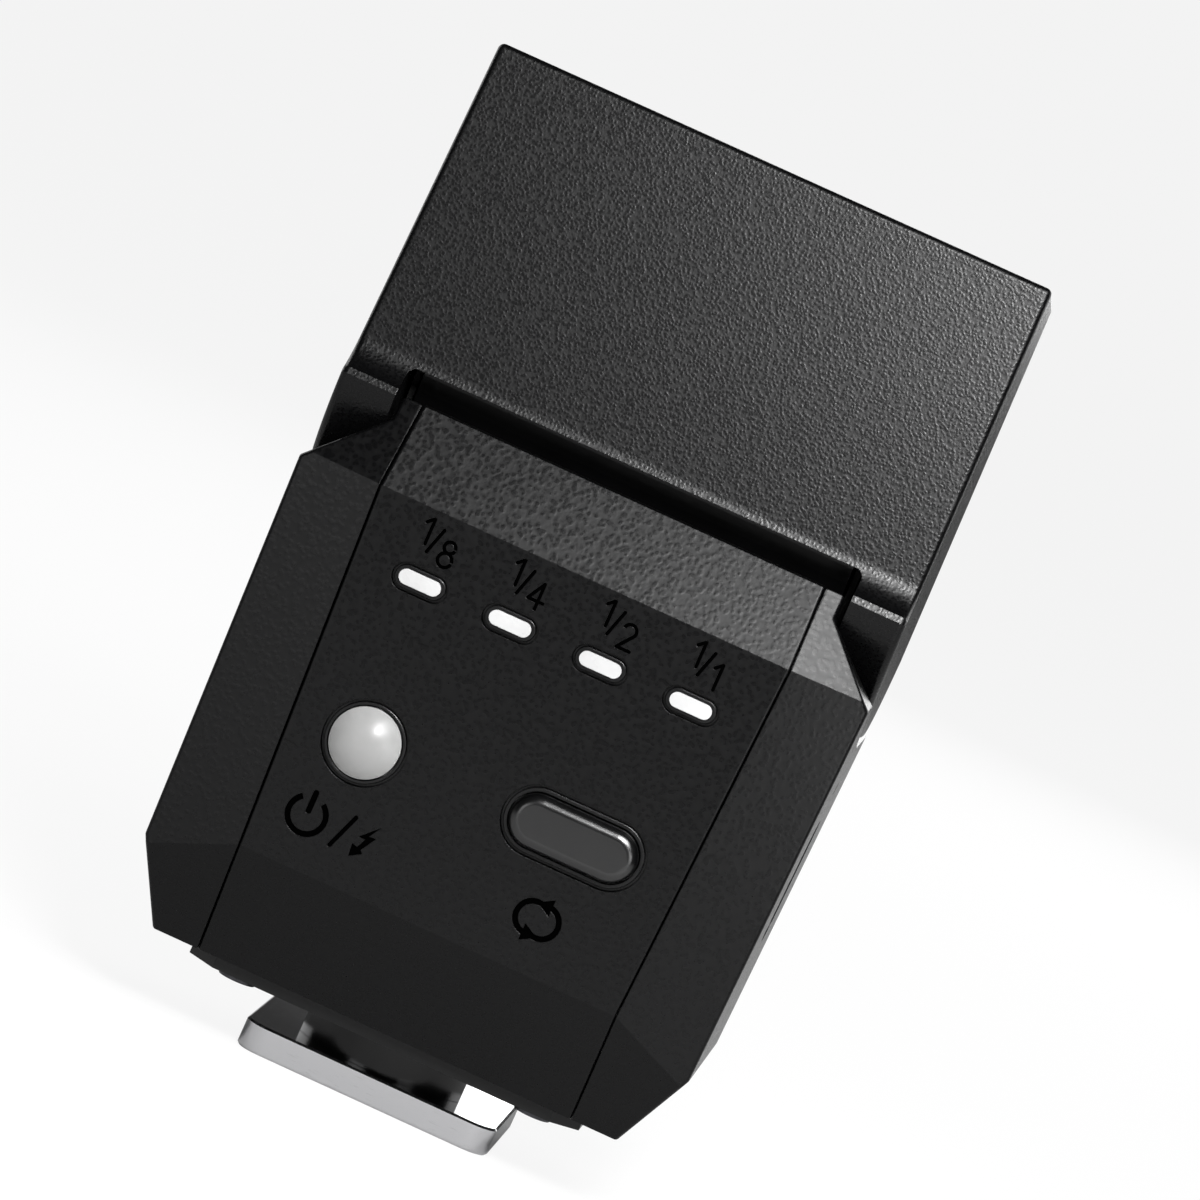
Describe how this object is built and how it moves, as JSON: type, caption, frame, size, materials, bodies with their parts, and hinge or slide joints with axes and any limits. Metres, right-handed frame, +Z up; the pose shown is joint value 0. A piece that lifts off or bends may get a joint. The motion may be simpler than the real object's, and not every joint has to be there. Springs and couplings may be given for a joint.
{
  "type": "compact hot shoe flash",
  "caption": "Compact camera flash with a standard shoe foot, a faceted body with a control panel, and a head that tilts up to bounce the light.",
  "frame": {"origin": "centre of the underside of the shoe foot's metal plate", "axes": "+Z up from the foot to the head, +Y the way the flash fires, +X to the right seen from the control panel"},
  "size_m": [0.0416, 0.0266, 0.0693],
  "materials": {
    "grained_black_shell": "fine leather grain",
    "smooth_black_plastic": "smooth satin",
    "black_button": "fine satin, lightly glossy",
    "milky_white_plastic": "milky, lightly glossy",
    "bright_chrome": "polished",
    "contact_brass": "polished",
    "spring_steel": "satin",
    "dark_screw_steel": "black oxide",
    "black_insulator": "smooth",
    "washer_nylon": "smooth",
    "circuit_board": "solder mask",
    "cell_pouch": "soft foil",
    "soft_rubber": "soft",
    "component_black": "moulded",
    "coil_copper": "lacquered",
    "lead_insulation": "smooth",
    "window_acrylic": "clear with fine ribs",
    "reflector_mirror": "polished",
    "tube_glass": "clear"
  },
  "bodies": {
    "body": {"foot_plate": "bright_chrome", "foot_stem": "smooth_black_plastic", "contact_insulator": "black_insulator", "contact_spring": "spring_steel", "contact_terminal": "contact_brass", "foot_screws": "dark_screw_steel", "base_plate": "smooth_black_plastic", "base_screws": "dark_screw_steel", "main_housing": "grained_black_shell", "rear_panel": "grained_black_shell", "hinge_cradle": "smooth_black_plastic", "cradle_screws": "dark_screw_steel", "friction_washers": "washer_nylon", "led_bezels": "smooth_black_plastic", "led_light_pipes": "milky_white_plastic", "indicator_lamps": "spring_steel", "button_rings": "smooth_black_plastic", "tact_switches": "spring_steel", "control_board": "circuit_board", "board_screws": "dark_screw_steel", "usb_socket": "spring_steel", "usb_tongue": "black_insulator", "side_light_pipe": "milky_white_plastic", "battery_cell": "cell_pouch", "battery_pad": "soft_rubber", "flash_capacitor": "component_black", "step_up_transformer": "coil_copper", "trigger_coil": "coil_copper", "power_transistor": "component_black", "body_leads": "lead_insulation"},
    "head": {"head_shell": "grained_black_shell", "head_front_bezel": "smooth_black_plastic", "head_screws": "dark_screw_steel", "flash_lens": "window_acrylic", "fresnel_sheet": "window_acrylic", "reflector": "reflector_mirror", "xenon_tube": "tube_glass", "tube_sleeves": "soft_rubber", "trigger_wire": "spring_steel", "head_terminal_board": "circuit_board", "hinge_pin_left": "spring_steel", "hinge_pin_right": "spring_steel"},
    "power_key": {"power_button": "milky_white_plastic"},
    "mode_key": {"mode_button": "black_button"},
    "contact_pin": {"centre_contact_pin": "contact_brass"}
  },
  "joints": [
    {"name": "head_tilt", "type": "hinge", "parent": "body", "child": "head", "pos_m": [0, -0.0012, 0.0495], "axis": [1, 0, 0], "range_deg": [0, 45]},
    {"name": "power_press", "type": "slide", "parent": "body", "child": "power_key", "axis": [0, 1, 0], "range_m": [0, 0.0004], "stiffness_N_per_m": 1500, "springref_m": -0.0003},
    {"name": "mode_press", "type": "slide", "parent": "body", "child": "mode_key", "axis": [0, 1, 0], "range_m": [0, 0.0004], "stiffness_N_per_m": 1500, "springref_m": -0.0003},
    {"name": "contact_press", "type": "slide", "parent": "body", "child": "contact_pin", "axis": [0, 0, 1], "range_m": [0, 0.0005], "stiffness_N_per_m": 800, "springref_m": -0.0008, "deforming": ["contact_spring"]}
  ]
}
